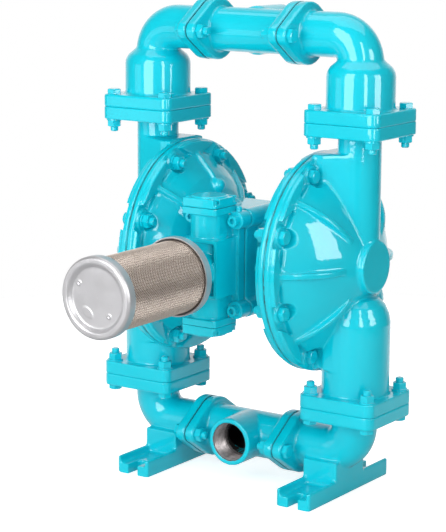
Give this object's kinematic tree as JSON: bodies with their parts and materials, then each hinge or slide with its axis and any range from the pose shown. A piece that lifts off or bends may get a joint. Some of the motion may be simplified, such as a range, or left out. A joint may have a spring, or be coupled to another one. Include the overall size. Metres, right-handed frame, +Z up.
{
  "type": "air operated diaphragm pump",
  "caption": "Air operated double diaphragm pump with cast chambers, bolted pipe manifolds, slotted feet, a side air valve and a mesh exhaust silencer.",
  "frame": {"origin": "on the floor, midway between the two feet and under the diaphragm rod's middle", "axes": "+X along the diaphragm rod, -Y towards the suction port and the silencer, +Z up"},
  "size_m": [0.404, 0.464, 0.6059],
  "materials": {
    "teal_enamel": "gloss enamel on castings",
    "painted_fasteners": "gloss enamel over steel",
    "diaphragm_rubber": "moulded elastomer",
    "ball_rubber": "moulded elastomer",
    "seat_steel": "machined",
    "seal_rubber": "moulded elastomer",
    "gasket_fibre": "compressed fibre sheet",
    "rod_steel": "ground",
    "plate_aluminium": "machined",
    "bronze": "machined",
    "valve_aluminium": "hard anodised",
    "silencer_cap_zinc": "satin grey",
    "silencer_mesh_steel": "woven mesh, warm grey",
    "silencer_felt": "felt"
  },
  "bodies": {
    "housing": {"outer_chamber_right": "teal_enamel", "outer_chamber_left": "teal_enamel", "inner_chamber_right": "teal_enamel", "inner_chamber_left": "teal_enamel", "center_body": "teal_enamel", "discharge_elbow_right": "teal_enamel", "discharge_elbow_left": "teal_enamel", "discharge_tee": "teal_enamel", "suction_elbow_right": "teal_enamel", "suction_elbow_left": "teal_enamel", "suction_tee": "teal_enamel", "air_valve_body": "teal_enamel", "valve_cap_top": "teal_enamel", "valve_cap_bottom": "teal_enamel", "rim_bolts": "painted_fasteners", "rim_nuts": "painted_fasteners", "rim_washers": "painted_fasteners", "discharge_flange_bolts": "painted_fasteners", "discharge_flange_nuts": "painted_fasteners", "discharge_flange_washers": "painted_fasteners", "suction_flange_bolts": "painted_fasteners", "suction_flange_nuts": "painted_fasteners", "suction_flange_washers": "painted_fasteners", "manifold_bolts": "painted_fasteners", "manifold_nuts": "painted_fasteners", "valve_screws": "painted_fasteners", "valve_cap_screws": "painted_fasteners", "diaphragm_right": "diaphragm_rubber", "diaphragm_left": "diaphragm_rubber", "suction_seats": "seat_steel", "discharge_seats": "seat_steel", "seat_seals": "seal_rubber", "rod_seals": "seal_rubber", "manifold_gaskets": "gasket_fibre", "valve_gasket": "gasket_fibre", "valve_cap_gaskets": "gasket_fibre", "chamber_screws": "rod_steel", "air_inlet": "rod_steel", "rod_bushings": "bronze", "plunger_guides": "bronze", "pilot_sleeve": "bronze", "valve_sleeve": "valve_aluminium", "silencer_rear_cap": "silencer_cap_zinc", "silencer_front_cap": "silencer_cap_zinc", "silencer_nipple": "silencer_cap_zinc", "silencer_mesh": "silencer_mesh_steel", "silencer_core": "silencer_felt"},
    "rod_group": {"rod": "rod_steel", "inner_plates": "plate_aluminium", "outer_plates": "plate_aluminium", "rod_nuts": "rod_steel"},
    "pilot": {"pilot_spool": "rod_steel", "actuator_plungers": "rod_steel"},
    "main_spool": {"valve_spool": "valve_aluminium"},
    "ball_suction_right": {"suction_ball_right": "ball_rubber"},
    "ball_suction_left": {"suction_ball_left": "ball_rubber"},
    "ball_discharge_right": {"discharge_ball_right": "ball_rubber"},
    "ball_discharge_left": {"discharge_ball_left": "ball_rubber"}
  },
  "joints": [
    {"name": "rod_slide", "type": "slide", "parent": "housing", "child": "rod_group", "axis": [1, 0, 0], "range_m": [-0.014, 0.014], "deforming": ["diaphragm_right", "diaphragm_left"]},
    {"name": "pilot_slide", "type": "slide", "parent": "housing", "child": "pilot", "axis": [1, 0, 0], "range_m": [-0.004, 0.004]},
    {"name": "main_spool_slide", "type": "slide", "parent": "housing", "child": "main_spool", "axis": [0, 0, 1], "range_m": [0, 0.012]},
    {"name": "suction_ball_right_lift", "type": "slide", "parent": "housing", "child": "ball_suction_right", "axis": [0, 0, 1], "range_m": [0, 0.012]},
    {"name": "suction_ball_left_lift", "type": "slide", "parent": "housing", "child": "ball_suction_left", "axis": [0, 0, 1], "range_m": [0, 0.012]},
    {"name": "discharge_ball_right_lift", "type": "slide", "parent": "housing", "child": "ball_discharge_right", "axis": [0, 0, 1], "range_m": [0, 0.012]},
    {"name": "discharge_ball_left_lift", "type": "slide", "parent": "housing", "child": "ball_discharge_left", "axis": [0, 0, 1], "range_m": [0, 0.012]}
  ],
  "couplings": [
    {"joint": "pilot_slide", "follows": "rod_slide", "ratio": 0.2857}
  ]
}
